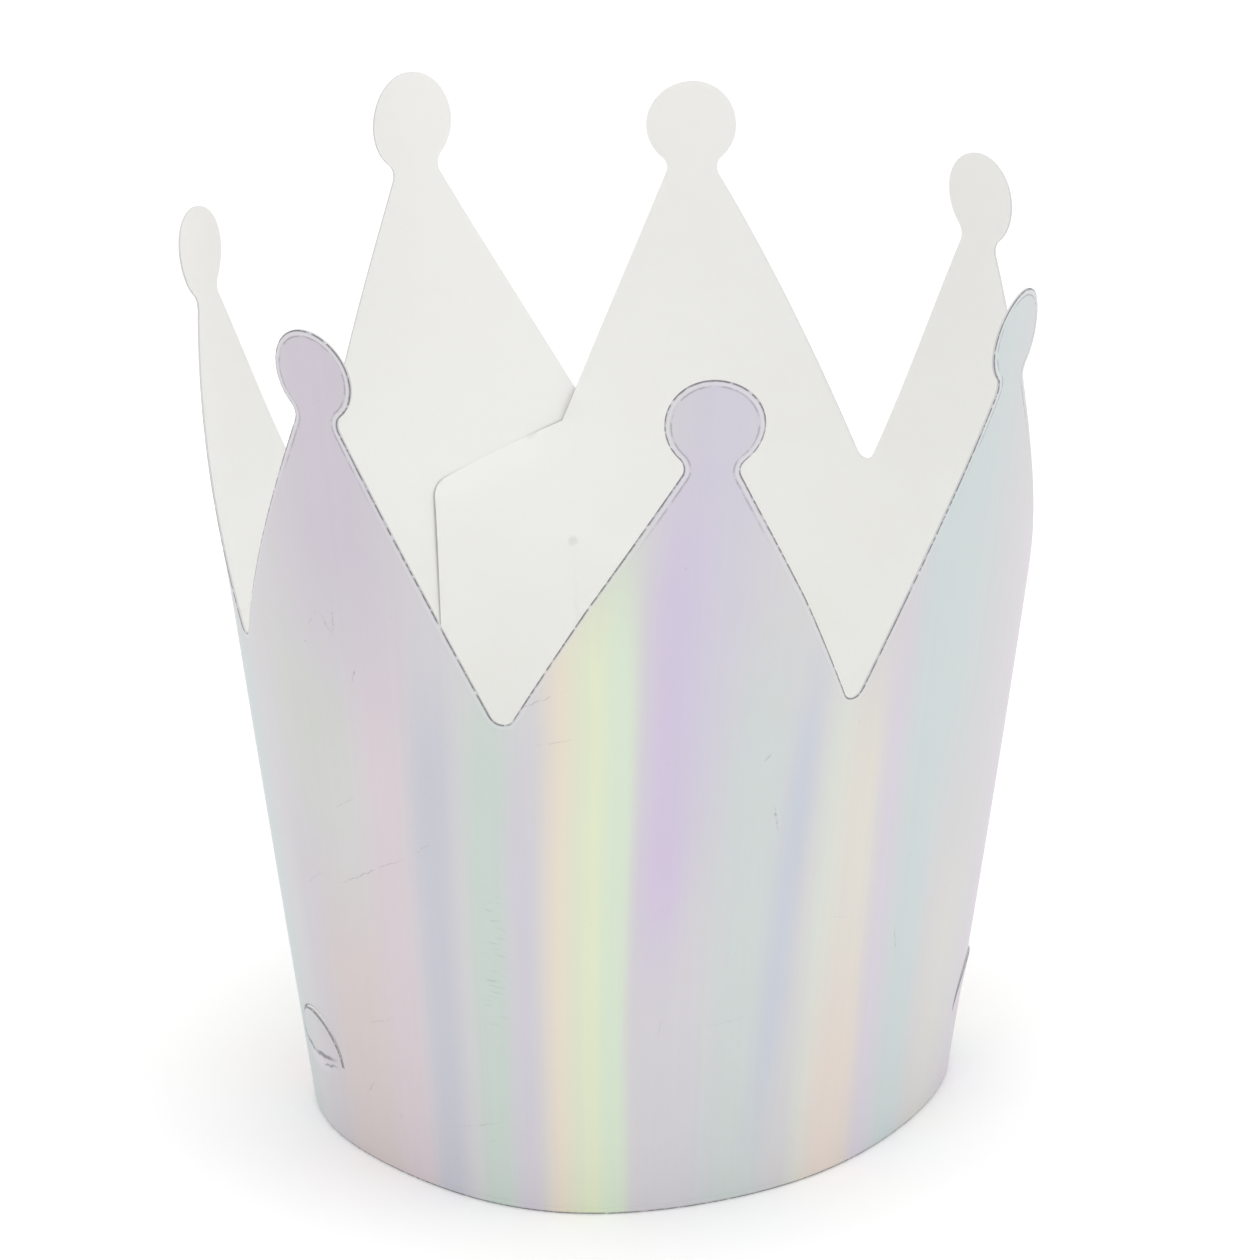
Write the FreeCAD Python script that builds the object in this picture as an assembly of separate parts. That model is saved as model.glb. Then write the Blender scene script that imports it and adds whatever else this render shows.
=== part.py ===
import FreeCAD, Part
import math
import os

from FreeCAD import Vector

# A party crown cut from one flat blank of foil-faced card. The blank is rolled into a slightly
# oval cone that widens upwards, and its two ends are glued where they lap at the back.
# Millimetres, +Z up. The origin is the middle of the foot ring that the crown stands on, and
# the middle point of the blank faces -Y. Lengths round the crown are taken along the foot, and
# heights are taken up the slant of the card.

NODE = "crown_sheet"

# Each size has a cell of its own in the sheet, with its meaning beside it

SIZES = {
    "foot_width": (97.0, "middle of the card at the foot, left to right"),
    "foot_depth": (103.0, "middle of the card at the foot, front to back"),
    "flare_angle": (7.7, "lean of the card outwards, in degrees"),
    "card_thickness": (0.4, "thickness of the card"),
    "glue_line": (0.1, "room for the glue between the two layers of the lap"),
    "point_count": (7, "points of the crown"),
    "valley_height": (83.0, "foot to the bottom of the valley between two points"),
    "valley_radius": (2.2, "rounding of the valley"),
    "neck_height": (126.8, "foot to the narrowest place under a ball"),
    "neck_width": (8.2, "width of that place"),
    "neck_radius": (2.2, "rounding between a point and its ball"),
    "ball_diameter": (14.8, "round tip of a point"),
    "lap_length": (19.8, "length of the two layers over each other at the foot"),
    "outer_end_inset": (4.2, "outer end short of the valley line beside the first point"),
    "tab_length": (10.5, "inner end past the valley line beside the last point"),
    "tab_side_angle": (22.4, "slope of the last point above the tab, from upright, in degrees"),
    "tab_root_height": (84.5, "foot to where that slope meets the top of the tab"),
    "tab_end_height": (77.5, "foot to the top corner of the tab"),
    "tab_root_radius": (1.5, "rounding where the slope meets the tab"),
    "tab_end_radius": (3.0, "rounding of the tab's top corner"),
    "tongue_spacing": (129.0, "middle of one cord tongue to the other, round the front"),
    "tongue_height": (13.6, "foot to the straight root of a tongue"),
    "tongue_radius": (7.2, "half-round tongue, root to tip"),
    "tongue_slit": (0.3, "width of the cut round a tongue"),
}

TURN = 2 * math.pi
STATIONS = 30


def make_size_sheet():
    sheet = document.addObject("Spreadsheet::Sheet", "sizes")
    for row, (name, (value, meaning)) in enumerate(SIZES.items(), start=1):
        sheet.set(f"A{row}", name)
        sheet.set(f"B{row}", str(value))
        sheet.set(f"C{row}", meaning)
        sheet.setAlias(f"B{row}", name)
    document.recompute()
    return sheet


document = FreeCAD.newDocument("paper_crown")
sizes = make_size_sheet()

# The rolled card follows an oval ring. In each turn it climbs outwards by its own thickness and
# the glue's, so that its outer end lies over its inner end

flare = math.radians(sizes.flare_angle)
mean_radius = (sizes.foot_width + sizes.foot_depth) / 4
oval_radius = (sizes.foot_depth - sizes.foot_width) / 4
half_card = sizes.card_thickness / 2 / math.cos(flare)
layer_step = (sizes.card_thickness + sizes.glue_line) / math.cos(flare)
apex_distance = mean_radius / math.sin(flare)
apex = Vector(0, 0, -apex_distance * math.cos(flare))


def card_point(angle, height, offset):
    """A point of the card at an angle from the front, anticlockwise, and a height up the slant."""
    outward = Vector(math.sin(angle), -math.cos(angle), 0)
    foot = outward * (mean_radius + oval_radius * math.cos(2 * angle))
    climbed = apex + (foot - apex) * (1 + height / apex_distance)
    return climbed + outward * (offset - layer_step * angle / TURN)


def ring_curve(angles, parameters, height, offset):
    points = [card_point(angle, height, offset) for angle in angles]
    curve = Part.BSplineCurve()
    curve.interpolate(Points=points, Parameters=parameters)
    return curve


def spaced(first, last, count):
    return [first + (last - first) * step / count for step in range(count + 1)]


wide_angles = spaced(-0.75 * TURN, 0.75 * TURN, STATIONS)
foot_ring = ring_curve(wide_angles, wide_angles, 0, 0)
circumference = foot_ring.length(-TURN / 2, TURN / 2)

# The points share evenly what the ring, the lap and the trimmed ends leave for them

blank_length = circumference + sizes.lap_length
pitch = (blank_length + sizes.outer_end_inset - sizes.tab_length) / sizes.point_count
last_centre = pitch * (sizes.point_count - 1) / 2
inner_end = last_centre + pitch / 2 + sizes.tab_length
outer_end = inner_end - blank_length

# The blank is drawn flat, one point at a time: x across the point, y up its centre line from
# the foot, with the apex of the cone straight below. Places are (x, y), directions are radians


def polar(height, turn):
    """The place at a height up the slant, on the ray that leaves the apex at a turn."""
    reach = apex_distance + height
    return reach * math.sin(turn), reach * math.cos(turn) - apex_distance


def moved(place, length, direction):
    return place[0] + length * math.cos(direction), place[1] + length * math.sin(direction)


def heading(start, end):
    return math.atan2(end[1] - start[1], end[0] - start[0])


def between(start, end, share):
    return start[0] + (end[0] - start[0]) * share, start[1] + (end[1] - start[1]) * share


def straight(start, end):
    return [between(start, end, share) for share in spaced(0, 1, 2)]


def arc(centre, radius, first, last, count=4):
    return [moved(centre, radius, direction) for direction in spaced(first, last, count)]


def rounded(before, corner, after, radius):
    """The arc that rounds off a corner between two straight runs."""
    arriving = heading(corner, before)
    half = math.remainder(heading(corner, after) - arriving, TURN) / 2
    side = math.copysign(math.pi, half)
    centre = moved(corner, radius / abs(math.sin(half)), arriving + half)
    return arc(centre, radius, arriving - side / 2, arriving - 3 * side / 2 + 2 * half)


def mirrored(run):
    return [(-x, y) for x, y in reversed(run)]


# A point's tip is a ball on a neck. Its straight side touches the neck's arc and the valley's

ball_radius = sizes.ball_diameter / 2
neck_arc_x = sizes.neck_width / 2 + sizes.neck_radius
neck_centre = (neck_arc_x, sizes.neck_height)
ball_rise = math.sqrt((ball_radius + sizes.neck_radius) ** 2 - neck_arc_x**2)
ball_centre = (0, sizes.neck_height + ball_rise)
neck_top = heading(neck_centre, ball_centre)
ball_start = neck_top - math.pi
ball = arc(ball_centre, ball_radius, ball_start, math.pi - ball_start, 12)

valley_turn = pitch / 2 / apex_distance
valley_centre = polar(sizes.valley_height + sizes.valley_radius, valley_turn)
arc_distance = math.dist(neck_centre, valley_centre)
lead = math.acos((sizes.valley_radius - sizes.neck_radius) / arc_distance)
side_normal = heading(neck_centre, valley_centre) + lead
side_foot = moved(valley_centre, -sizes.valley_radius, side_normal)
side_head = moved(neck_centre, -sizes.neck_radius, side_normal)

half_valley = arc(
    valley_centre, sizes.valley_radius, -math.pi / 2 - valley_turn, side_normal - math.pi
)
side = straight(side_foot, side_head)
neck = arc(neck_centre, sizes.neck_radius, side_normal + math.pi, neck_top)
right_of_point = [half_valley, side, neck]
left_of_point = [mirrored(run) for run in reversed(right_of_point)]


def end_of_first_point():
    """The outer end of the blank is cut along a ray, which shortens the first point's side."""
    turn = valley_turn - sizes.outer_end_inset / apex_distance

    def beyond(place):
        return place[0] * math.cos(turn) - (place[1] + apex_distance) * math.sin(turn)

    share = beyond(side_foot) / (beyond(side_foot) - beyond(side_head))
    corner = between(side_foot, side_head, share)
    return [mirrored(neck), mirrored(straight(corner, side_head))]


def end_of_last_point():
    """The last point's steeper side runs out into the glue tab at the inner end of the blank."""
    angle = math.radians(sizes.tab_side_angle)
    tab_neck = arc(neck_centre, sizes.neck_radius, angle + math.pi, neck_top)
    head = tab_neck[0]
    fall = head[1] - sizes.tab_root_height
    root = (head[0] + fall * math.tan(angle), sizes.tab_root_height)
    turn = (inner_end - last_centre) / apex_distance
    foot = polar(0, turn)
    corner = polar(sizes.tab_end_height, turn)
    corner_arc = rounded(foot, corner, root, sizes.tab_end_radius)
    root_arc = rounded(corner, root, head, sizes.tab_root_radius)
    return [
        straight(foot, corner_arc[0]),
        corner_arc,
        straight(corner_arc[-1], root_arc[0]),
        root_arc,
        straight(root_arc[-1], head),
        tab_neck,
    ]


def on_card(runs, centre):
    """Flat places as (length along the foot, height up the slant), for a centre line's length."""
    return [
        [
            (
                centre + apex_distance * math.atan2(x, apex_distance + y),
                math.hypot(x, apex_distance + y) - apex_distance,
            )
            for x, y in run
        ]
        for run in runs
    ]


def blank_outline():
    """The cut edge, from the foot of the tab over all the points and back along the foot."""
    runs = []
    for index in range(sizes.point_count):
        is_last_point = index == 0
        is_first_point = index == sizes.point_count - 1
        right = end_of_last_point() if is_last_point else right_of_point
        left = end_of_first_point() if is_first_point else left_of_point
        runs += on_card([*right, ball, *left], last_centre - index * pitch)
    runs.append(straight(runs[-1][-1], (outer_end, 0)))
    runs.append(straight((outer_end, 0), (inner_end, 0)))
    return runs


def tongue_slit(side):
    """The slit round a half-round tongue, which stays joined to the card along its root."""
    centre = (0, sizes.tongue_height)
    half_slit = sizes.tongue_slit / 2
    outer = arc(centre, sizes.tongue_radius + half_slit, 0, math.pi, 8)
    inner = arc(centre, sizes.tongue_radius - half_slit, math.pi, 0, 8)
    runs = [outer, straight(outer[-1], inner[0]), inner, straight(inner[-1], outer[0])]
    return on_card(runs, side * sizes.tongue_spacing / 2)


# Rolling up: each face of the card is a ruled surface, measured along the foot one way and up
# the slant the other, so that the flat outline can be laid on it

station_lengths = spaced(outer_end, inner_end, STATIONS)
station_angles = [foot_ring.parameterAtDistance(length, 0.0) for length in station_lengths]
slant = ball_centre[1] + sizes.ball_diameter


def rolled_face(offset):
    foot, top = (
        ring_curve(station_angles, station_lengths, height, offset) for height in (0, slant)
    )
    ruling_degree = 1
    face = Part.BSplineSurface()
    face.buildFromPolesMultsKnots(
        list(zip(foot.getPoles(), top.getPoles())),
        foot.getMultiplicities(),
        [ruling_degree + 1, ruling_degree + 1],
        foot.getKnots(),
        [0, slant],
        False,
        False,
        foot.Degree,
        ruling_degree,
    )
    return face


def edges_on(surface, runs):
    edges = []
    for run in runs:
        curve = Part.Geom2d.BSplineCurve2d()
        curve.interpolate(Points=[FreeCAD.Base.Vector2d(*place) for place in run])
        edges.append(curve.toShape(surface))
    return edges


def foot_face(outer, inner):
    """The flat ring of bare edge that the crown stands on."""
    ends = [
        Part.makeLine(outer.valueAt(parameter), inner.valueAt(parameter))
        for parameter in (outer.FirstParameter, outer.LastParameter)
    ]
    return Part.Face(Part.Wire(Part.sortEdges([outer, inner, *ends])[0]))


def rolled_card():
    outlines = [blank_outline(), tongue_slit(-1), tongue_slit(1)]
    faces = []
    loops = []
    for offset in (half_card, -half_card):
        surface = rolled_face(offset)
        cut_loops = [edges_on(surface, runs) for runs in outlines]
        face = Part.Face(Part.Wire(cut_loops[0]))
        face.cutHoles([Part.Wire(loop) for loop in cut_loops[1:]])
        face.validate()
        faces.append(face)
        loops.append(cut_loops)
    outer_foot = loops[0][0].pop()
    inner_foot = loops[1][0].pop()
    faces.append(foot_face(outer_foot, inner_foot))
    for outer_loop, inner_loop in zip(*loops):
        faces += [Part.makeRuledSurface(*pair) for pair in zip(outer_loop, inner_loop)]
    shell = Part.makeShell(faces)
    shell.sewShape()
    return Part.makeSolid(Part.Shell(shell.Faces))


# A card that is cut, rolled and lapped on itself is no pad, revolution or boolean of simple
# solids, so its shape is set directly

crown = document.addObject("Part::Feature", "CrownSheet")
crown.Label = NODE
crown.Shape = rolled_card()
crown.Placement = FreeCAD.Placement()
document.recompute()

for item in document.Objects:
    if {"Invalid", "Error"} & set(item.State):
        raise RuntimeError(f"{item.Label} failed: {item.State}")
if crown.Shape.isNull() or not crown.Shape.isValid() or crown.Shape.Volume <= 0:
    raise RuntimeError(f"{crown.Label} has no valid solid")

os.makedirs("parts", exist_ok=True)
crown.Shape.exportStep(f"parts/{crown.Label}.step")
print(f"{crown.Label}: {crown.Shape.Volume:.0f} cubic mm, pitch {pitch:.2f} mm")
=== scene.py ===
import math

import bpy
import numpy as np
from mathutils import Matrix, Vector
from mathutils.geometry import delaunay_2d_cdt
from mathutils.kdtree import KDTree


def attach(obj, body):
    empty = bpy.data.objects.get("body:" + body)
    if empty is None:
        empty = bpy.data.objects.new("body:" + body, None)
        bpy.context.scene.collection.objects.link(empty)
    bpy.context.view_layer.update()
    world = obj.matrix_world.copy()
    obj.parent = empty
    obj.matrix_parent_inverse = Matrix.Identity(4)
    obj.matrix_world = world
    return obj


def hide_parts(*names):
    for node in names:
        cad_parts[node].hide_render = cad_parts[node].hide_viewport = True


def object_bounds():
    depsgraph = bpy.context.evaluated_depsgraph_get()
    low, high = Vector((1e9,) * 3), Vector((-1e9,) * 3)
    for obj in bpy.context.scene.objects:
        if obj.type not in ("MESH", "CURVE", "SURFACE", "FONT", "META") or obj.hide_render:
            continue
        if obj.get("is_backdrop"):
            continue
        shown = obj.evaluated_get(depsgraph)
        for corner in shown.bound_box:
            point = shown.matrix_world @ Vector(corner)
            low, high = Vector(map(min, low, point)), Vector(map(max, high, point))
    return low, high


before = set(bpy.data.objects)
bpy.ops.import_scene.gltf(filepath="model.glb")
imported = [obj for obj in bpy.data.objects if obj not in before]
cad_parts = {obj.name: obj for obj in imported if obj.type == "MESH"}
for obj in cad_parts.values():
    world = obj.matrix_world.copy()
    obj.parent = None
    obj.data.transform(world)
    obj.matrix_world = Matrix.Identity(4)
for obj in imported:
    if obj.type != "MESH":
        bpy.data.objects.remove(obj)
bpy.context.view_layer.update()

# Crown sheet. One die-cut blank of 0.4 mm card, pearly film outside and plain white inside. It
# is rolled up by hand into a cone that is a little out of round, and its ends lap at the back.
# The blank is drawn flat in millimetres, with the cone's apex straight below the middle point.

FOOT_RADIUS, OVAL_SWING = 50, 1.5
FLARE = math.radians(7.7)
APEX = FOOT_RADIUS / math.sin(FLARE)
PITCH = 46.848
BACK_POINT = 3 * PITCH
OUTER_END, INNER_END, INNER_FOOT = -161.0, 176.1, 180.8
CARD = 0.4
LAYER_STEP = 0.505
FOOT_PLACES = 330

VALLEY_HEIGHT, VALLEY_RADIUS = 83.0, 2.2
NECK_HEIGHT, NECK_HALF, NECK_RADIUS = 126.8, 4.1, 2.2
BALL_RADIUS = 7.4
TONGUES = (-64.5, 68.0)  # the right one is 3.5 further round than in the solid
TONGUE_HEIGHT, TONGUE_RADIUS, TONGUE_SLIT, TONGUE_LIFT = 13.6, 7.2, 0.22, 0.05


def polar(height, turn):
    reach = APEX + height
    return np.array([reach * math.sin(turn), reach * math.cos(turn) - APEX])


def moved(place, length, direction):
    return np.array([place[0] + length * math.cos(direction),
                     place[1] + length * math.sin(direction)])


def heading(start, end):
    return math.atan2(end[1] - start[1], end[0] - start[0])


def arc(centre, radius, first, last, step=0.45):
    count = max(3, round(abs(last - first) * radius / step))
    turns = np.linspace(first, last, count + 1)
    return np.stack([centre[0] + radius * np.cos(turns), centre[1] + radius * np.sin(turns)], 1)


def straight(start, end, step=0.9):
    count = max(1, round(math.dist(start, end) / step))
    share = np.linspace(0, 1, count + 1)[:, None]
    return np.asarray(start) * (1 - share) + np.asarray(end) * share


def mirrored(run):
    return run[::-1] * (-1, 1)


def turned(run, place):
    """A run moved round the apex, so that its upright middle line stands at a place on the foot."""
    sine, cosine = math.sin(place / APEX), math.cos(place / APEX)
    x, y = run[:, 0], run[:, 1] + APEX
    return np.stack([x * cosine + y * sine, y * cosine - x * sine - APEX], 1)


# A point: a ball on a neck, and sides that run down to the rounded valleys. The steepest sides
# are the two at the ends of the blank

neck_x = NECK_HALF + NECK_RADIUS
neck_centre = (neck_x, NECK_HEIGHT)
ball_rise = math.sqrt((BALL_RADIUS + NECK_RADIUS) ** 2 - neck_x**2)
ball_centre = (0, NECK_HEIGHT + ball_rise)
neck_top = heading(neck_centre, ball_centre)
ball = arc(ball_centre, BALL_RADIUS, neck_top - math.pi, 2 * math.pi - neck_top)


def point_side(valley_shift):
    """Right half of a point below its ball, for a valley moved sideways by a length."""
    turn = (PITCH / 2 + valley_shift) / APEX
    centre = polar(VALLEY_HEIGHT + VALLEY_RADIUS, turn)
    normal = heading(neck_centre, centre) + math.pi / 2
    return np.concatenate([
        arc(centre, VALLEY_RADIUS, -math.pi / 2 - turn, normal - math.pi),
        straight(moved(centre, -VALLEY_RADIUS, normal), moved(neck_centre, -NECK_RADIUS, normal)),
        arc(neck_centre, NECK_RADIUS, normal + math.pi, neck_top),
    ])


def end_side(slope, foot_height):
    """Right half of a point whose side leaves the neck at a slope and stops at a height."""
    normal = math.radians(slope)
    head = moved(neck_centre, -NECK_RADIUS, normal)
    fall = head[1] - foot_height
    foot = (head[0] + fall * math.tan(normal), foot_height)
    neck = arc(neck_centre, NECK_RADIUS, normal + math.pi, neck_top)
    return np.concatenate([straight(foot, head), neck])


FINE_STEP = 0.3


def fillet(before, corner, after, radius):
    """The arc that rounds a corner between two straight runs."""
    arriving = heading(corner, before)
    half = math.remainder(heading(corner, after) - arriving, 2 * math.pi) / 2
    side = math.copysign(math.pi, half)
    centre = moved(corner, radius / abs(math.sin(half)), arriving + half)
    return arc(centre, radius, arriving - side / 2, arriving - 3 * side / 2 + 2 * half, FINE_STEP)


# How far each valley lies off the middle between its points, from the left end of the blank to
# the right, from the fit that Rolling up names, and the free ends: the glue tab on the right and
# the plain end on the left

VALLEY_SHIFTS = [0.0, 0.0, 1.62, -0.5, -0.43, 0.0, -2.29, 0.0]
TAB_SLOPE, TAB_ROOT, TAB_END, TAB_CORNER_RADIUS = 22.4, 84.5, 77.5, 3.0
OUTER_SLOPE, OUTER_SIDE_LOW = 26.2, 70

tab_side = end_side(TAB_SLOPE, TAB_ROOT)
tab_turn = (INNER_END - BACK_POINT) / APEX
tab_foot = polar(0, (INNER_FOOT - BACK_POINT) / APEX)
tab_root, tab_corner = tab_side[0], polar(TAB_END, tab_turn)
corner_arc = fillet(tab_foot, tab_corner, tab_root, TAB_CORNER_RADIUS)
tab_edge = np.concatenate([
    straight(tab_foot, corner_arc[0]),
    corner_arc,
    straight(corner_arc[-1], tab_root),
    tab_side,
])

outer_turn = (-BACK_POINT - OUTER_END) / APEX
outer_side = end_side(OUTER_SLOPE, OUTER_SIDE_LOW)
beyond = outer_side[:, 0] * math.cos(outer_turn) - (outer_side[:, 1] + APEX) * math.sin(outer_turn)
outer_side = outer_side[beyond < 0]
outer_foot = polar(0, outer_turn)
outer_corner = polar(math.hypot(outer_side[0, 0], outer_side[0, 1] + APEX) - APEX, outer_turn)
outer_edge = np.concatenate([straight(outer_foot, outer_corner)[:-1], outer_side])

runs = []
for index in range(3, -4, -1):
    right = tab_edge if index == 3 else point_side(VALLEY_SHIFTS[index + 4])
    left = outer_edge if index == -3 else point_side(-VALLEY_SHIFTS[index + 3])
    runs.append(turned(np.concatenate([right, ball, mirrored(left)]), index * PITCH))
foot_turns = np.linspace(OUTER_END, INNER_FOOT, FOOT_PLACES) / APEX
runs.append(np.stack([APEX * np.sin(foot_turns), APEX * np.cos(foot_turns) - APEX], 1))
outline = np.concatenate(runs)


def slit(place):
    """The cut round a half-round cord tongue, which stays joined along its straight root."""
    centre, half = (0, TONGUE_HEIGHT), TONGUE_SLIT / 2
    outer = arc(centre, TONGUE_RADIUS + half, 0, math.pi)
    inner = arc(centre, TONGUE_RADIUS - half, math.pi, 0)
    return turned(np.concatenate([outer, inner]), place)


def without_repeats(loop):
    step = np.linalg.norm(loop - np.roll(loop, 1, axis=0), axis=1)
    return loop[step > 0.02]


loops = [without_repeats(loop) for loop in (outline, slit(TONGUES[0]), slit(TONGUES[1]))]
cut_points = np.concatenate(loops)
loop_starts = np.cumsum([0] + [len(loop) for loop in loops])


def inside(loop, points):
    """Whether each point lies in a closed loop, by counting the edges that it is left of."""
    result = np.zeros(len(points), bool)
    x, y = points[:, 0], points[:, 1]
    for start, end in zip(loop, np.roll(loop, -1, axis=0)):
        if start[1] == end[1]:
            continue
        crosses = (start[1] > y) != (end[1] > y)
        reach = start[0] + (y - start[1]) / (end[1] - start[1]) * (end[0] - start[0])
        result ^= crosses & (x < reach)
    return result


def on_card(points):
    result = inside(loops[0], points)
    for hole in loops[1:]:
        result &= ~inside(hole, points)
    return result


before = np.empty(len(cut_points), int)
after = np.empty(len(cut_points), int)
for first, last in zip(loop_starts[:-1], loop_starts[1:]):
    indices = np.arange(first, last)
    before[indices], after[indices] = np.roll(indices, 1), np.roll(indices, -1)
nearest = KDTree(len(cut_points))
for index, (x, y) in enumerate(cut_points):
    nearest.insert((x, y, 0), index)
nearest.balance()


def distance_to_cut(points):
    """How far each flat point is from the nearest cut edge."""
    found = np.array([nearest.find((x, y, 0))[1] for x, y in points])
    result = np.full(len(points), np.inf)
    for start, end in ((before[found], found), (found, after[found])):
        run = cut_points[end] - cut_points[start]
        share = ((points - cut_points[start]) * run).sum(1) / (run**2).sum(1)
        foot = cut_points[start] + run * np.clip(share, 0, 1)[:, None]
        result = np.minimum(result, np.linalg.norm(points - foot, axis=1))
    return result


# The mesh of the blank follows its cut edges closely, where the die has crushed the card, and
# is an even net elsewhere

RIM_ROWS = (0.14, 0.32, 0.55, 0.8, 0.95, 1.12, 1.45)
NET = 1.5

tangent = cut_points[after] - cut_points[before]
outwards = np.stack([tangent[:, 1], -tangent[:, 0]], 1) / np.linalg.norm(tangent, axis=1)[:, None]
rim = []
for row in RIM_ROWS:
    for side in (-1, 1):
        candidates = cut_points + outwards * side * row
        kept = distance_to_cut(candidates) > 0.96 * row
        kept[kept] = on_card(candidates[kept])
        rim.append(candidates[kept])
net_x = np.arange(cut_points[:, 0].min(), cut_points[:, 0].max(), NET)
net_y = np.arange(cut_points[:, 1].min(), cut_points[:, 1].max(), NET * 0.866)
net = np.stack(np.meshgrid(net_x, net_y), -1)
net[1::2, :, 0] += NET / 2
net = net.reshape(-1, 2)
net = net[on_card(net)]
net = net[distance_to_cut(net) > RIM_ROWS[-1] + 0.6]
flat = np.concatenate([cut_points, *rim, net])

faces_in = [list(range(first, last)) for first, last in zip(loop_starts[:-1], loop_starts[1:])]
net_out = delaunay_2d_cdt([Vector(place) for place in flat], [], faces_in, 1, 1e-6)
flat = np.array([tuple(place) for place in net_out[0]])
triangles = np.array([face for face in net_out[2] if len(face) == 3])
triangles = triangles[on_card(flat[triangles].mean(1))]
corners = flat[triangles]
first_side, second_side = corners[:, 1] - corners[:, 0], corners[:, 2] - corners[:, 0]
area = first_side[:, 0] * second_side[:, 1] - first_side[:, 1] * second_side[:, 0]
triangles[area < 0] = triangles[area < 0][:, ::-1]
used, triangles = np.unique(triangles, return_inverse=True)
flat, triangles = flat[used], triangles.reshape(-1, 3)
cut_distance = distance_to_cut(flat)

along = APEX * np.arctan2(flat[:, 0], flat[:, 1] + APEX)
height = np.hypot(flat[:, 0], flat[:, 1] + APEX) - APEX

# Rolling up. The ring is an oval that hand rolling has pushed out of round: each list is how far
# the card stands out from the oval at 16 places, anticlockwise from the front. The lists came out
# of a scratch fit of the shape and the camera to the outlines in the photo

OUT_AT_FOOT = [-0.62, -2.85, -3.26, -1.07, 1.11, 2.85, 4.03, -0.1,
               -2.71, -1.65, -1.46, -1.35, 1.11, 2.05, 1.81, 2.12]
OUT_HALFWAY = [-0.26, -3.51, -4.0, -0.49, 0.47, -0.48, 0.51, -0.32,
               -1.14, -0.63, -1.5, -1.5, 1.53, 1.87, -0.17, 0.5]
OUT_AT_TIPS = [-0.77, -3.39, -3.43, -0.44, -2.09, -5.56, -4.0, -0.36,
               1.35, 0.84, -1.55, -1.68, 1.61, 1.37, -2.23, -1.9]
TIP_HEIGHT = 134.0

# Each point is bent a little of its own: a lean and a rise in millimetres, a twist in radians
# and a widening, in the order front, right, ... round to the left. All but the widenings are from
# the same fit

TIP_LEANS = [2.75, -1.27, 1.48, 0.08, 2.04, 2.92, 1.26]
TIP_RISES = [-0.05, 0.2, -1.3, -1.73, 1.38, -0.6, -0.58]
TIP_TWISTS = [-0.27, 0.1, 0.09, 0.21, 0.14, -0.2, -0.05]
TIP_WIDENINGS = [0.05, 0.0, 0.0, 0.0, 0.0, 0.0, 0.01]

OVAL_STEPS = 3000
wide_turns = np.linspace(-1.5 * math.pi, 1.5 * math.pi, OVAL_STEPS + 1)
oval = FOOT_RADIUS + OVAL_SWING * np.cos(2 * wide_turns)
oval_steps = np.hypot(np.diff(oval * np.sin(wide_turns)), np.diff(oval * np.cos(wide_turns)))
oval_lengths = np.concatenate([[0], np.cumsum(oval_steps)])
oval_lengths -= oval_lengths[OVAL_STEPS // 2]


def waves(stations, turns):
    """A smooth ring through evenly spaced values, and the sideways drift that keeps its length."""
    spectrum = np.fft.rfft(stations) / len(stations)
    outwards = np.full_like(turns, spectrum[0].real)
    sideways = np.zeros_like(turns)
    for order in range(1, (len(stations) + 1) // 2):
        wave = 2 * spectrum[order] * np.exp(1j * order * turns)
        outwards += wave.real
        sideways -= (wave / (1j * order)).real
    return outwards, sideways


def ring(along, height):
    """Places on the middle of the rolled card before its points are bent, in millimetres."""
    turn = np.interp(along, oval_lengths, wide_turns)
    share = height / TIP_HEIGHT
    foot, foot_drift = waves(OUT_AT_FOOT, turn)
    middle, middle_drift = waves(OUT_HALFWAY, turn)
    tip, tip_drift = waves(OUT_AT_TIPS, turn)
    weights = ((1 - share) * (1 - 2 * share), 4 * share * (1 - share), share * (2 * share - 1))
    out = weights[0] * foot + weights[1] * middle + weights[2] * tip
    drift = weights[0] * foot_drift + weights[1] * middle_drift + weights[2] * tip_drift
    drift = drift + waves(TIP_LEANS, turn)[0] * share**2
    radius = (FOOT_RADIUS + OVAL_SWING * np.cos(2 * turn)) * (1 + height / APEX) + out
    radius -= LAYER_STEP * turn / (2 * math.pi)
    up = height * math.cos(FLARE) - (out - foot) * math.tan(FLARE)
    return np.stack([
        radius * np.sin(turn) + drift * np.cos(turn),
        -radius * np.cos(turn) + drift * np.sin(turn),
        up,
    ], -1)


def rolled(along, height):
    """Places on the middle of the rolled card, in millimetres."""
    point = np.clip(np.round(along / PITCH), -3, 3).astype(int)
    share = np.clip((height - VALLEY_HEIGHT) / (TIP_HEIGHT - VALLEY_HEIGHT), 0, None)
    middle = ring(point * PITCH, height)
    offset = ring(along, height) - middle
    offset *= 1 + (np.array(TIP_WIDENINGS)[point] * np.clip(share * 2.5, 0, 1))[:, None]
    twist = np.array(TIP_TWISTS)[point] * share**2
    sine, cosine = np.sin(twist), np.cos(twist)
    x, y, z = offset.T
    offset = np.stack([x * cosine - y * sine, x * sine + y * cosine, z], -1)
    offset[:, 2] += np.array(TIP_RISES)[point] * share**2
    return middle + offset


def outward_normals(along, height):
    step = 0.05
    across = rolled(along + step, height) - rolled(along - step, height)
    upward = rolled(along, height + step) - rolled(along, height - step)
    normal = np.cross(across, upward)
    return normal / np.linalg.norm(normal, axis=1)[:, None]


def hill(place, up, wide, tall):
    """A smooth rise round a place on the card, 1 at its middle."""
    return np.exp(-(((along - place) / wide) ** 2) - ((height - up) / tall) ** 2)


# Small shapes in the card: the lap's free corners stand off a little, the layer behind it shows
# through as a faint step, the cord tongues are bent out, and handling has left shallow dents

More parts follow.
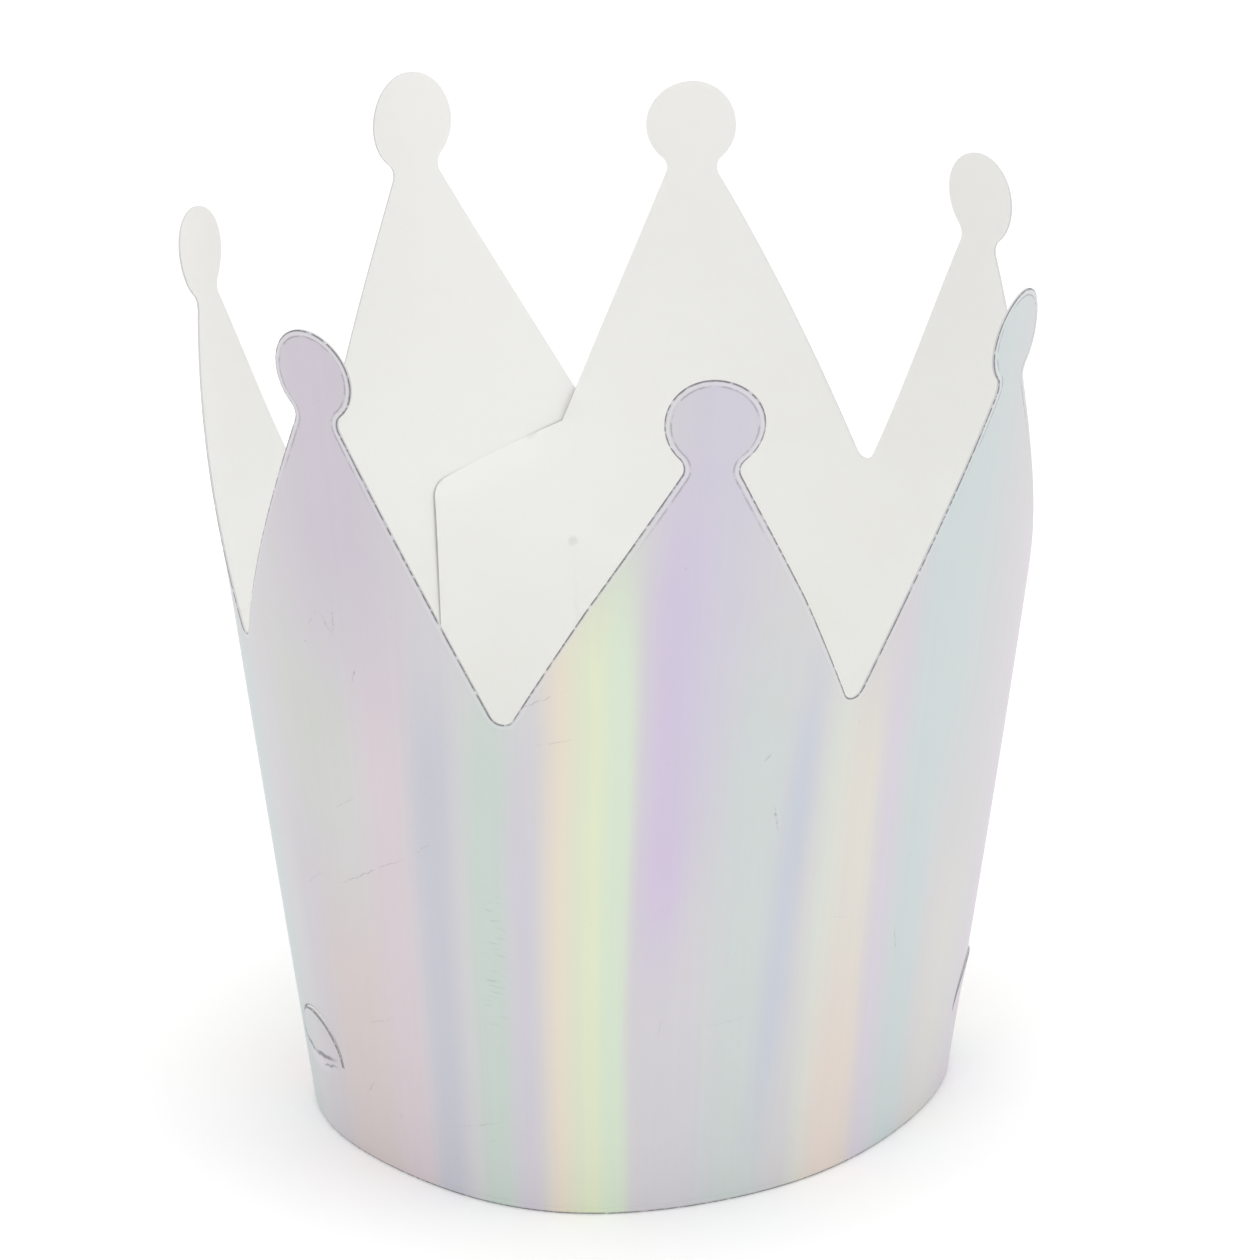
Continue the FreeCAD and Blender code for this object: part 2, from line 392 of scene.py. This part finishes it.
STEP_PLACE, STEP_TOP = 157.3, 65.5
on_lap = (along > 140) * np.clip((66 - height) / 4, 0, 1)
dents = -0.4 * hill(158.6, 86.5, 3.5, 4.0) - 0.2 * hill(INNER_END, 70, 3.0, 12.0)
dents += 0.1 * (np.tanh((along - STEP_PLACE) / 0.8) - 1) * on_lap
dents -= 0.25 * hill(STEP_PLACE, STEP_TOP, 1.6, 1.8)
dents += 0.22 * hill(-41, 92, 2.2, 5.5) - 0.18 * hill(-45, 97, 2.6, 4.0)
for place in TONGUES:
    from_root = np.clip(height - TONGUE_HEIGHT, 0, None)
    across = (along - place) * (1 + height / APEX)
    on_tongue = np.hypot(across, from_root) < TONGUE_RADIUS
    dents += np.where(on_tongue & (height > TONGUE_HEIGHT), TONGUE_LIFT * from_root, 0)

# The die has rounded the outer face down at the cuts, and left a fine groove beside them. The
# glue tab has neither, because its outer face lies against the layer behind

CRUSH_DEPTH, CRUSH_WIDTH = 0.13, 0.5
GROOVE_DEPTH, GROOVE_PLACE, GROOVE_HALF = 0.05, 0.95, 0.16
in_lap = (along > 150) & (height < 86)
from_groove = (cut_distance - GROOVE_PLACE) / GROOVE_HALF
crushed = np.where(in_lap, 0, CRUSH_DEPTH * np.clip(1 - cut_distance / CRUSH_WIDTH, 0, 1) ** 2)
groove = np.where(in_lap, 0, GROOVE_DEPTH * np.exp(-(from_groove**2)))

middle = rolled(along, height)
normals = outward_normals(along, height)
outer_skin = middle + normals * (CARD / 2 + dents - crushed - groove)[:, None]

# The tab's free edges are pressed flat on the layer behind them, so that they hardly show

PRESS_REACH, OUTER_PRESS, INNER_PRESS = 4.5, 0.1, 0.42
pressed = np.zeros(len(flat))
for start, end, strength in ((tab_foot, tab_corner, 0.6), (tab_corner, tab_root, 1.0)):
    start, end = turned(np.array([start, end]), BACK_POINT)
    run = end - start
    share = np.clip(((flat - start) * run).sum(1) / (run**2).sum(), 0, 1)
    away = np.linalg.norm(flat - start - run * share[:, None], axis=1)
    pressed = np.maximum(pressed, strength * np.clip(1 - away / PRESS_REACH, 0, 1))
outer_skin += normals * (OUTER_PRESS * pressed)[:, None]
inner_skin = middle + normals * (dents - CARD / 2 + INNER_PRESS * pressed)[:, None]

count = len(flat)
edge_count = {}
for a, b, c in triangles:
    for start, end in ((a, b), (b, c), (c, a)):
        edge_count[(start, end)] = edge_count.get((start, end), 0) + 1
open_edges = [edge for edge in edge_count if (edge[1], edge[0]) not in edge_count]
faces = [tuple(face) for face in triangles.tolist()]
faces += [tuple(index + count for index in reversed(face)) for face in triangles.tolist()]
faces += [(end, start, start + count, end + count) for start, end in open_edges]

MM_PER_METRE = 1000
sheet_mesh = bpy.data.meshes.new("crown_sheet_card")
skins = np.concatenate([outer_skin, inner_skin]) / MM_PER_METRE
sheet_mesh.from_pydata(skins.tolist(), [], faces)
sheet_mesh.polygons.foreach_set(
    "material_index", [0] * len(triangles) + [1] * len(triangles) + [2] * len(open_edges)
)
sheet_mesh.polygons.foreach_set("use_smooth", [True] * len(faces))
sheet_mesh.set_sharp_from_angle(angle=math.radians(50))
blank_places = sheet_mesh.attributes.new("blank", "FLOAT_VECTOR", "POINT")
blank_values = np.stack([along, height, cut_distance], 1)
blank_places.data.foreach_set("vector", np.concatenate([blank_values, blank_values]).ravel())

crown_sheet = bpy.data.objects.new("crown_sheet_card", sheet_mesh)
bpy.context.scene.collection.objects.link(crown_sheet)


def add(tree, kind, *values, **settings):
    """A shader node whose sockets, in order, take numbers, colours or other nodes' outputs."""
    made = tree.nodes.new("ShaderNode" + kind)
    for name, value in settings.items():
        setattr(made, name, value)
    for socket, value in zip(made.inputs, values):
        if isinstance(value, bpy.types.NodeSocket):
            tree.links.new(value, socket)
        elif value is not None:
            socket.default_value = value
    return made.outputs[0]


def maths(tree, operation, *values):
    return add(tree, "Math", *values, operation=operation)


def smooth_step(tree, value, start, end, most=1.0):
    return add(tree, "MapRange", value, start, end, 0.0, most, interpolation_type="SMOOTHSTEP")


def blend(tree, share, under, over):
    made = tree.nodes.new("ShaderNodeMix")
    made.data_type = "RGBA"
    sockets = (made.inputs[0], made.inputs[6], made.inputs[7])
    for socket, value in zip(sockets, (share, under, over)):
        if isinstance(value, bpy.types.NodeSocket):
            tree.links.new(value, socket)
        elif isinstance(value, tuple):
            socket.default_value = (*value, 1)
        else:
            socket.default_value = value
    return made.outputs[2]


def blank_sockets(tree):
    """Length round the foot, height up the slant and distance to the cut, in millimetres."""
    source = tree.nodes.new("ShaderNodeAttribute")
    source.attribute_name = "blank"
    split = tree.nodes.new("ShaderNodeSeparateXYZ")
    tree.links.new(source.outputs["Vector"], split.inputs[0])
    return source.outputs["Vector"], *split.outputs


def new_material(name):
    material = bpy.data.materials.new(name)
    material.use_nodes = True
    tree = material.node_tree
    tree.nodes.clear()
    shader = tree.nodes.new("ShaderNodeBsdfPrincipled")
    output = tree.nodes.new("ShaderNodeOutputMaterial")
    tree.links.new(shader.outputs[0], output.inputs[0])
    return material, tree, shader


# Pearly film. Its grain splits light into soft pastel bands that run up the card, and here the
# bands are painted sheen, set into the film's colour where they fall on the blank. Each band has a
# place round the foot, a half width, a soft edge, a lean from foot to tips, the heights that it
# fades out at, a strength and the screen colour that it shows


def screen(red, green, blue):
    """A colour that is read off a screen, as the light that it stands for."""
    return tuple(((value / 255 + 0.055) / 1.055) ** 2.4 for value in (red, green, blue))


PEARL = screen(211, 209, 211)
SHEEN_BAND_SOFTNESS, OPEN_TOP = 1.3, 140
PAINTED_SHEEN_BANDS = [
    (-58, 4.5, 3, 0, -40, 75, 0.8, (206, 202, 210)),
    (-49, 9, 4, 0, -40, 62, 0.9, (213, 202, 200)),
    (-55, 6, 4, 4, 55, 108, 0.7, (204, 208, 199)),
    (-42, 4, 2.5, 1, -40, 115, 0.8, (215, 203, 209)),
    (-46, 9, 5, 0, 82, 170, 0.9, (204, 196, 207)),
    (-35, 3.0, 1.9, 1.8, -40, 105, 0.95, (199, 199, 209)),
    (-26.2, 3, 1.8, 0.5, -40, 105, 1.0, (200, 212, 205)),
    (-21.5, 2, 1.5, 0, -40, 92, 0.9, (208, 204, 214)),
    (-16.3, 2.2, 1.8, 0.5, -40, 122, 1.0, (230, 219, 203)),
    (-12, 3.2, 2, 0.5, -40, 126, 1.0, (222, 229, 201)),
    (-9.3, 1.6, 1, 0.3, -40, 124, 0.9, (213, 228, 207)),
    (-4, 2.8, 1.6, 2, 40, 138, 1.0, (208, 193, 219)),
    (1, 5, 4, 0, 55, 170, 0.7, (205, 200, 217)),
    (-1, 4.5, 3, 0, -40, 62, 0.7, (210, 206, 214)),
    (8, 4.5, 3, 2, -40, 110, 0.9, (204, 212, 210)),
    (11.8, 2.0, 1.7, 7, 10, 105, 1.0, (199, 204, 214)),
    (21, 2.5, 2, 1.5, -40, 105, 0.9, (216, 221, 212)),
    (26, 4, 2.5, 1, -40, 100, 0.9, (223, 218, 208)),
    (26, 5, 3, 0, -60, 48, 0.7, (227, 212, 204)),
    (34, 2.6, 2, -2.5, -40, 110, 1.0, (213, 207, 217)),
    (40, 4, 2.5, -2, -40, 140, 1.0, (203, 212, 212)),
    (44, 6, 5, 0, 55, 170, 0.8, (204, 213, 213)),
    (51, 5, 4, 0, -40, 62, 0.6, (216, 216, 209)),
    (66, 6, 4, 2, -40, 120, 0.8, (212, 205, 214)),
    (77, 4, 3, -2, -40, 110, 0.9, (203, 210, 213)),
    (86, 5, 3, 1, -40, 105, 0.9, (224, 222, 207)),
    (94, 6, 4, 0, 40, 170, 0.9, (207, 200, 216)),
    (106, 5, 3, 2, -40, 100, 0.9, (219, 206, 203)),
    (118, 4, 3, -2, -40, 115, 0.9, (201, 212, 207)),
    (131, 6, 3, 1, -40, 100, 0.9, (222, 225, 206)),
    (141, 6, 4, 0, 50, 170, 0.8, (206, 199, 215)),
    (-72, 4, 3, 1, -40, 105, 0.8, (201, 210, 211)),
    (-86, 6, 4, -1, -40, 100, 0.9, (222, 211, 205)),
    (-94, 4, 3, 0, 40, 170, 0.9, (205, 199, 214)),
    (-106, 4, 2.5, 2, -40, 105, 0.9, (220, 225, 206)),
    (-115, 4, 3, 1, -40, 110, 0.9, (202, 211, 208)),
    (-128, 6, 4, 0, -40, 95, 0.8, (214, 203, 207)),
    (-141, 6, 4, 0, 40, 170, 0.9, (200, 203, 213)),
    (-152, 4, 3, 0, -40, 90, 0.9, (223, 219, 206)),
]

film, tree, shader = new_material("pearl_film")
blank, foot_mm, up_mm, cut_mm = blank_sockets(tree)


def new_group(name, inputs, result):
    """A node group with named inputs and one output, the kinds given by their short names."""
    group = bpy.data.node_groups.new(name, "ShaderNodeTree")
    for label, kind in inputs:
        group.interface.new_socket(label, in_out="INPUT", socket_type="NodeSocket" + kind)
    group.interface.new_socket(result[0], in_out="OUTPUT", socket_type="NodeSocket" + result[1])
    source = group.nodes.new("NodeGroupInput").outputs
    target = group.nodes.new("NodeGroupOutput").inputs
    return group, source, target


def placed_group(tree, group, *values):
    """The group set into a material, its sockets filled in order."""
    made = tree.nodes.new("ShaderNodeGroup")
    made.node_tree = group
    for socket, value in zip(made.inputs, values):
        if isinstance(value, bpy.types.NodeSocket):
            tree.links.new(value, socket)
        else:
            socket.default_value = value
    return made.outputs[0]


# Grain: noise over the blank, as fine each way as it is asked to be, per millimetre

grain_group, source, target = new_group(
    "grain",
    (("Place", "Vector"), ("Fineness", "Vector"), ("Seed", "Vector"), ("Detail", "Float")),
    ("Value", "Float"),
)
scaled = add(grain_group, "VectorMath", source[0], source[1], operation="MULTIPLY")
seeded = add(grain_group, "VectorMath", scaled, source[2], operation="ADD")
cloudy = add(grain_group, "TexNoise", seeded, None, 1.0, source[3], 0.6, noise_dimensions="3D")
grain_group.links.new(cloudy, target[0])


def noise(tree, scale_along, scale_up, detail, seed):
    place = blank_sockets(tree)[0]
    fineness, shift = (scale_along, scale_up, 0), (seed, -seed, seed)
    return placed_group(tree, grain_group, place, fineness, shift, float(detail))


sway = maths(tree, "MULTIPLY_ADD", noise(tree, 0.03, 0.012, 2, 4.0), 1.8, -0.9)
sheen_band_place = maths(tree, "ADD", foot_mm, sway)
colour = PEARL
# Each band lays painted sheen into the colour
for place, half_width, edge, lean, low, high, strength, hue in PAINTED_SHEEN_BANDS:
    centre = maths(tree, "MULTIPLY_ADD", up_mm, lean / TIP_HEIGHT, place) if lean else float(place)
    offset = maths(tree, "ABSOLUTE", maths(tree, "SUBTRACT", sheen_band_place, centre))
    soft = SHEEN_BAND_SOFTNESS * edge
    share = smooth_step(tree, offset, half_width + soft, half_width - soft, strength)
    if high < OPEN_TOP:
        share = maths(tree, "MULTIPLY", share, smooth_step(tree, up_mm, high, high - 35.0))
    if low > 0:
        share = maths(tree, "MULTIPLY", share, smooth_step(tree, up_mm, low - 15.0, low + 25.0))
    colour = blend(tree, share, colour, screen(*hue))

# Its surface: fine upright streaks, a cloudy sheen, and the marks that handling has left

streaks = maths(tree, "SUBTRACT", noise(tree, 1.1, 0.01, 3, 11.0), 0.5)
clouds = maths(tree, "SUBTRACT", noise(tree, 0.09, 0.05, 4, 23.0), 0.5)
grain = maths(tree, "SUBTRACT", noise(tree, 2.6, 2.6, 2, 31.0), 0.5)
shade = maths(tree, "MULTIPLY_ADD", streaks, 0.035, 1.0)
shade = maths(tree, "MULTIPLY_ADD", clouds, 0.05, shade)
shade = maths(tree, "MULTIPLY_ADD", grain, 0.02, shade)

STROKES = [
    (-25, 86, -19.5, 88.5, 0.22, 0.35), (9.5, 76.5, 10.5, 78, 0.25, 0.3),
    (-53.5, 46.5, -37.5, 57.5, 0.11, 0.45), (-37.5, 57.5, -34.5, 60.5, 0.09, 0.3),
    (-60, 44.5, -55.5, 48.5, 0.10, 0.35), (-50, 24.5, -43.5, 27.5, 0.09, 0.35),
    (-22.5, 85.5, -14.5, 91.0, 0.10, 0.45), (-20.5, 80.0, -14, 82.5, 0.09, 0.3),
    (-51.5, 60.5, -46.5, 64.5, 0.09, 0.3), (-47.6, 90.5, -49.8, 94.5, 0.12, 0.5),
    (-47.4, 97.5, -47.6, 90.5, 0.12, 0.4), (-49.8, 94.5, -52.4, 90.5, 0.10, 0.3),
    (11.4, 69, 12.4, 63.5, 0.12, 0.6), (-45.5, 83.5, -44.5, 87, 0.12, 0.5),
    (3.0, 32, 10, 32.6, 0.10, 0.25), (36.2, 40, 37.6, 33, 0.12, 0.4),
    (-36.5, 11, -24.5, 15.2, 0.08, 0.3), (-52, 11.5, -49.5, 14.5, 0.10, 0.4),
    (-3.5, 31, -2.8, 34.5, 0.10, 0.3), (22, 46, 26, 44.5, 0.08, 0.2),
]


# A stroke on the card: a thin ellipse from one place to another, soft at its edge

stroke_mask, source, target = new_group(
    "stroke",
    (("Place", "Vector"), ("Centre", "Vector"), ("Turn", "Vector"), ("Size", "Vector"),
     ("Strength", "Float")),
    ("Mask", "Float"),
)
local = add(stroke_mask, "Mapping", *source[:4], vector_type="TEXTURE")
away = add(stroke_mask, "VectorMath", local, operation="LENGTH").node.outputs["Value"]
stroke_mask.links.new(smooth_step(stroke_mask, away, 1.1, 0.3, source[4]), target[0])


def stroke(tree, place, x0, y0, x1, y1, width, strength):
    centre = ((x0 + x1) / 2, (y0 + y1) / 2, 0)
    turn = (0, 0, math.atan2(y1 - y0, x1 - x0))
    size = (math.hypot(x1 - x0, y1 - y0) / 2, width, 1)
    return placed_group(tree, stroke_mask, place, centre, turn, size, strength)


# Places on the blank that waver by a fraction of a millimetre, so that strokes aren't straight

waver, source, target = new_group("waver", (("Place", "Vector"),), ("Place", "Vector"))
level = add(waver, "VectorMath", source[0], (1, 1, 0), operation="MULTIPLY")
noisy = add(waver, "TexNoise", level, None, 0.8, 2.0, 0.5, noise_dimensions="3D")
shift = add(waver, "VectorMath", noisy.node.outputs["Color"], (0.5, 0.5, 0.5), operation="SUBTRACT")
shift = add(waver, "VectorMath", shift, (0.9, 0.9, 0), operation="MULTIPLY")
waver.links.new(add(waver, "VectorMath", level, shift, operation="ADD"), target[0])

scratch_place = placed_group(tree, waver, blank)
marks_and_painted_crease_shade = 0.0
for numbers in STROKES:
    marks_and_painted_crease_shade = maths(tree, "MAXIMUM", stroke(tree, scratch_place, *numbers), marks_and_painted_crease_shade)
broken = smooth_step(tree, noise(tree, 0.9, 0.9, 3, 41.0), 0.36, 0.56)
marks_and_painted_crease_shade = maths(tree, "MULTIPLY", marks_and_painted_crease_shade, broken)

# The left cord tongue has been bent: painted shade as a dark crease along its root, and a painted
# highlight as a pale patch over it, where the buckled card catches the light

# Painted shade: dark strokes along the bent root of the tongue
for numbers in ((-73, 13.9, -65.5, 12.5, 0.55, 1.0), (-68, 12.5, -58.6, 14.2, 0.6, 1.0),
                (-64.5, 11.5, -58.8, 13.2, 0.25, 0.8)):
    marks_and_painted_crease_shade = maths(tree, "MAXIMUM", stroke(tree, scratch_place, *numbers), marks_and_painted_crease_shade)
# Painted highlight: a pale patch where the buckled card catches the light
painted_fold_highlight = stroke(tree, scratch_place, -71, 11.8, -61, 11.5, 1.7, 0.7)
colour = blend(tree, painted_fold_highlight, colour, screen(222, 218, 226))

# A column of short level scuffs left of the front, and thin specks all round

scuff_place = maths(tree, "ABSOLUTE", maths(tree, "ADD", foot_mm, 25.9))
scuff = smooth_step(tree, scuff_place, 2.2, 0.6)
scuff = maths(tree, "MULTIPLY", scuff, smooth_step(tree, up_mm, 28.0, 36.0))
scuff = maths(tree, "MULTIPLY", scuff, smooth_step(tree, up_mm, 57.0, 50.0))
gaps = smooth_step(tree, noise(tree, 0.28, 2.0, 1, 57.0), 0.56, 0.7)
scuff = maths(tree, "MULTIPLY", scuff, gaps)
specks = smooth_step(tree, noise(tree, 0.75, 1.5, 2, 71.0), 0.735, 0.79)
marks_and_painted_crease_shade = maths(tree, "MAXIMUM", marks_and_painted_crease_shade, maths(tree, "MULTIPLY", scuff, 0.22))
marks_and_painted_crease_shade = maths(tree, "MAXIMUM", marks_and_painted_crease_shade, maths(tree, "MULTIPLY", specks, 0.35))

# Its rim: dark in places at the cut and pale beside it, with a fine broken line further in on the
# balls. The pale band is strongest on the balls too

rough_cut = maths(tree, "MULTIPLY_ADD", noise(tree, 1.6, 1.6, 3, 83.0), 0.22, cut_mm)
above_foot = smooth_step(tree, up_mm, 24.0, 34.0)
bright = smooth_step(tree, rough_cut, 0.95, 0.75)
bright = maths(tree, "MULTIPLY", bright, above_foot)
from_line = maths(tree, "ABSOLUTE", maths(tree, "SUBTRACT", rough_cut, 1.1))
line = smooth_step(tree, from_line, 0.2, 0.05)
line = maths(tree, "MULTIPLY", line, smooth_step(tree, noise(tree, 0.5, 0.5, 2, 97.0), 0.36, 0.56))
line = maths(tree, "MULTIPLY", line, smooth_step(tree, up_mm, 112.0, 122.0))
dark = smooth_step(tree, rough_cut, 0.46, 0.22)
dark = maths(tree, "MULTIPLY", dark, smooth_step(tree, noise(tree, 0.9, 0.9, 3, 103.0), 0.3, 0.52))
on_ball = smooth_step(tree, up_mm, 116.0, 124.0)
bright = maths(tree, "MULTIPLY", bright, maths(tree, "MULTIPLY_ADD", on_ball, 0.3, 0.32))
colour = blend(tree, bright, colour, screen(221, 220, 222))
colour = blend(tree, maths(tree, "MULTIPLY", line, 0.55), colour, screen(142, 141, 149))
colour = blend(tree, maths(tree, "MULTIPLY", dark, 0.85), colour, screen(98, 97, 104))
# Scratches, scuffs and specks, together with the painted crease shade at the tongue's root
colour = blend(tree, marks_and_painted_crease_shade, colour, screen(140, 138, 146))
shaded = add(tree, "VectorMath", colour, None, operation="SCALE")
tree.links.new(shade, shaded.node.inputs["Scale"])
tree.links.new(shaded, shader.inputs["Base Color"])
roughness = maths(tree, "MULTIPLY_ADD", clouds, 0.12, 0.42)
tree.links.new(roughness, shader.inputs["Roughness"])
bump = tree.nodes.new("ShaderNodeBump")
bump.inputs["Strength"].default_value = 0.35
bump.inputs["Distance"].default_value = 0.0001
relief = maths(tree, "MULTIPLY_ADD", marks_and_painted_crease_shade, -1.0, maths(tree, "MULTIPLY", streaks, 0.25))
tree.links.new(relief, bump.inputs["Height"])
tree.links.new(bump.outputs[0], shader.inputs["Normal"])
shader.inputs["Metallic"].default_value = 0.15
shader.inputs["Specular IOR Level"].default_value = 0.25

# Card back. The bare white inner face: a little warm in patches, and greyer towards the tips by
# painted shade. Beside the lap it has dark strokes: painted shadow under the lifted slope edge of
# the glue tab, painted shade along the faint step where the layer behind ends, and a few small dark
# smudges near the tab's corner

card_back, tree, shader = new_material("card_back")
blank, _, up_mm, _ = blank_sockets(tree)
back_mark_place = placed_group(tree, waver, blank)
smudges_and_painted_shade = 0.0
# Dark strokes beside the lap. The one from 84.8 to 92 high is painted shadow under the lifted tab
# edge, the one from 40 to 63.5 high is painted shade along the step where the layer behind ends,
# and the rest are small smudges
for numbers in ((156.6, 65.3, 158.3, 65.9, 1.0, 0.17), (157.2, 63.5, 157.6, 40, 0.35, 0.05),
                (157.4, 92, 158.6, 84.8, 0.45, 0.45), (161.3, 83, 162.6, 83.6, 1.3, 0.16),
                (173.4, 79.8, 176, 77.2, 0.8, 0.2), (171.4, 80.4, 172.8, 79.6, 0.5, 0.15),
                (165, 98, 165.6, 99.5, 0.5, 0.12), (-164, 92, -163, 94, 0.4, 0.1)):
    smudges_and_painted_shade = maths(tree, "MAXIMUM", stroke(tree, back_mark_place, *numbers), smudges_and_painted_shade)
fibres = maths(tree, "SUBTRACT", noise(tree, 0.9, 0.5, 4, 13.0), 0.5)
patches = maths(tree, "SUBTRACT", noise(tree, 0.04, 0.04, 3, 29.0), 0.5)
# The strokes above darken the tone: painted shadow and shade, and smudges
tone = blend(tree, smudges_and_painted_shade, screen(251, 251, 249), screen(150, 145, 138))
warmth = smooth_step(tree, patches, -0.1, 0.25, 0.5)
tone = blend(tree, warmth, tone, screen(249, 248, 244))
# Painted shade: the tone greys towards the tips
painted_shade_to_tips = smooth_step(tree, up_mm, 62.0, 140.0, 0.8)
tone = blend(tree, painted_shade_to_tips, tone, screen(238, 237, 234))
shade = maths(tree, "MULTIPLY_ADD", fibres, 0.012, 1.0)
toned = add(tree, "VectorMath", tone, None, operation="SCALE")
tree.links.new(shade, toned.node.inputs["Scale"])
tree.links.new(toned, shader.inputs["Base Color"])
shader.inputs["Roughness"].default_value = 0.8
shader.inputs["Specular IOR Level"].default_value = 0.2

# Cut card. The edges that the die has cut, silver-grey.

cut_card, _, shader = new_material("cut_card")
shader.inputs["Base Color"].default_value = (*screen(206, 205, 206), 1)
shader.inputs["Roughness"].default_value = 0.5

for material in (film, card_back, cut_card):
    sheet_mesh.materials.append(material)
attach(crown_sheet, "root")
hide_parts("crown_sheet")

# Floor. Plain pale paper, which the crown stands on and which keeps its soft shadow.

FLOOR_HALF, FLOOR_DROP, FLOOR_GLOW = 4.0, 0.0001, 0.09
floor_mesh = bpy.data.meshes.new("floor")
floor_corners = [
    (x * FLOOR_HALF, y * FLOOR_HALF, -FLOOR_DROP)
    for x, y in ((-1, -1), (1, -1), (1, 1), (-1, 1))
]
floor_mesh.from_pydata(floor_corners, [], [(0, 1, 2, 3)])
floor = bpy.data.objects.new("floor", floor_mesh)
bpy.context.scene.collection.objects.link(floor)
pale_paper, tree, shader = new_material("pale_paper")
shader.inputs["Base Color"].default_value = (0.97, 0.97, 0.97, 1)
shader.inputs["Roughness"].default_value = 0.9
shader.inputs["Specular IOR Level"].default_value = 0.0
shader.inputs["Emission Color"].default_value = (1, 1, 1, 1)


def seen_directly(tree):
    """1 for rays that come from the camera, a mirror or glass, and 0 for light that spreads."""
    rays = tree.nodes.new("ShaderNodeLightPath").outputs
    mirrored_rays = maths(tree, "MAXIMUM", rays["Is Glossy Ray"], rays["Is Transmission Ray"])
    return maths(tree, "MAXIMUM", rays["Is Camera Ray"], mirrored_rays)


lift = maths(tree, "MULTIPLY", seen_directly(tree), FLOOR_GLOW)
tree.links.new(lift, shader.inputs["Emission Strength"])
floor_mesh.materials.append(pale_paper)
floor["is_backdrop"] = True

# Light. A pale room with three large soft lamps round the crown. The room is seen as full white
# and lights the crown a little less than that.

ROOM_LIGHT, ROOM_WHITE = 0.8, 1.0
world = bpy.data.worlds.new("studio")
bpy.context.scene.world = world
world.use_nodes = True
background = world.node_tree.nodes["Background"]
background.inputs["Color"].default_value = (1, 1, 1, 1)
room_lift = ROOM_WHITE - ROOM_LIGHT
directly = seen_directly(world.node_tree)
room = maths(world.node_tree, "MULTIPLY_ADD", directly, room_lift, ROOM_LIGHT)
world.node_tree.links.new(room, background.inputs["Strength"])


LAMP_AIM = Vector((0, 0, 0.07))


def soft_lamp(name, place, size, power):
    """A round lamp that faces the middle of the crown."""
    lamp = bpy.data.lights.new(name, "AREA")
    lamp.shape = "DISK"
    lamp.size = size
    lamp.energy = power
    lamp_object = bpy.data.objects.new(name, lamp)
    lamp_object.location = place
    facing = (LAMP_AIM - Vector(place)).to_track_quat("-Z", "Y")
    lamp_object.rotation_euler = facing.to_euler()
    bpy.context.scene.collection.objects.link(lamp_object)


soft_lamp("key_lamp", (-0.9, -1.1, 1.3), 0.9, 3.0)
soft_lamp("fill_lamp", (1.3, -0.7, 0.9), 1.0, 2.5)
soft_lamp("top_lamp", (0.05, 0.1, 1.5), 0.8, 5.2)

# Camera. It looks down at the crown from a little left of its front point. Its numbers came out
# of the same fit as the shape.

AZIMUTH, ELEVATION, ROLL = math.radians(-8.91), math.radians(22.338), math.radians(-0.099)
DISTANCE, FOCAL_PIXELS, TARGET_RIGHT, TARGET_UP = 1.35348, 8870.8, -0.0003, 0.07325
IMAGE_PIXELS, SENSOR_WIDTH = 1260, 36

towards = Vector((
    math.sin(AZIMUTH) * math.cos(ELEVATION),
    -math.cos(AZIMUTH) * math.cos(ELEVATION),
    math.sin(ELEVATION),
))
right = Vector((math.cos(AZIMUTH), math.sin(AZIMUTH), 0))
above = towards.cross(right)
camera_data = bpy.data.cameras.new("camera")
camera_data.sensor_width = SENSOR_WIDTH
camera_data.lens = SENSOR_WIDTH * FOCAL_PIXELS / IMAGE_PIXELS
camera_data.clip_end = 20
camera = bpy.data.objects.new("camera", camera_data)
axes = Matrix((right, above, towards)).transposed() @ Matrix.Rotation(ROLL, 3, "Z")
place = right * TARGET_RIGHT + Vector((0, 0, TARGET_UP)) + towards * DISTANCE
camera.matrix_world = Matrix.Translation(place) @ axes.to_4x4()
bpy.context.scene.collection.objects.link(camera)
bpy.context.scene.camera = camera
bpy.context.scene.view_settings.view_transform = "Standard"

low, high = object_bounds()
